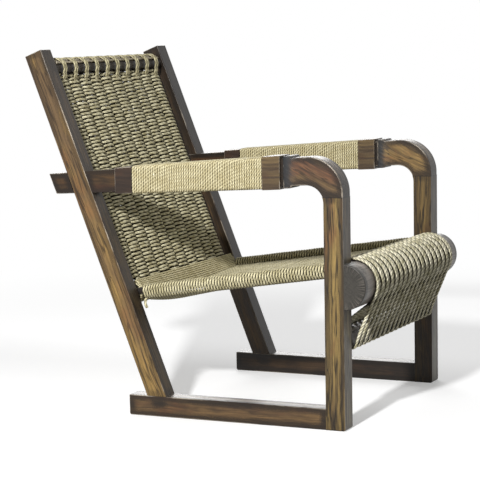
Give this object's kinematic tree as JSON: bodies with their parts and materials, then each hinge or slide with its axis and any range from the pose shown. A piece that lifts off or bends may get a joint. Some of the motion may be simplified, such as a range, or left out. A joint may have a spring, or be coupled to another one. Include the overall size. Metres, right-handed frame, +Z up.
{
  "type": "armchair",
  "caption": "Low lounge armchair with sled side frames, rounded elbows, a leaning woven rope back, a sagging rope seat and a rope apron over a fat front roller.",
  "frame": {"origin": "centre of the chair's footprint in plan, on the floor", "axes": "+X to the sitter's left, -Y to the front of the chair, +Z up"},
  "size_m": [0.654, 0.8546, 0.85],
  "materials": {
    "stained_timber": "brushed, dark walnut stain, satin wax",
    "cuff_timber": "dark walnut stain, satin wax",
    "dark_timber": "near-black brown stain, satin wax",
    "peg_timber": "bare turned hardwood",
    "twisted_rope": "two-ply twisted seagrass rope, dry and fibrous",
    "fine_cord": "fine twisted seagrass cord, tightly laid"
  },
  "bodies": {
    "root": {"runner_right": "stained_timber", "runner_left": "stained_timber", "front_post_right": "stained_timber", "front_post_left": "stained_timber", "elbow_right": "stained_timber", "elbow_left": "stained_timber", "arm_rail_right": "stained_timber", "arm_rail_left": "stained_timber", "back_leg_right": "stained_timber", "back_leg_left": "stained_timber", "front_cuff_right": "cuff_timber", "front_cuff_left": "cuff_timber", "rear_cuff_right": "cuff_timber", "rear_cuff_left": "cuff_timber", "arm_wrap_right": "fine_cord", "arm_wrap_left": "fine_cord", "front_roller": "dark_timber", "front_stretcher": "dark_timber", "top_bar": "dark_timber", "rear_bar": "dark_timber", "seat_rail_right": "dark_timber", "seat_rail_left": "dark_timber", "back_weave": "twisted_rope", "seat_weave": "twisted_rope", "roller_ropes": "twisted_rope", "apron_front_ropes": "twisted_rope", "apron_rear_ropes": "twisted_rope", "stretcher_turns": "twisted_rope", "top_loops": "twisted_rope", "rear_bar_wrap": "twisted_rope", "top_lay": "fine_cord", "elbow_pegs": "peg_timber", "roller_pegs": "peg_timber"}
  },
  "joints": []
}
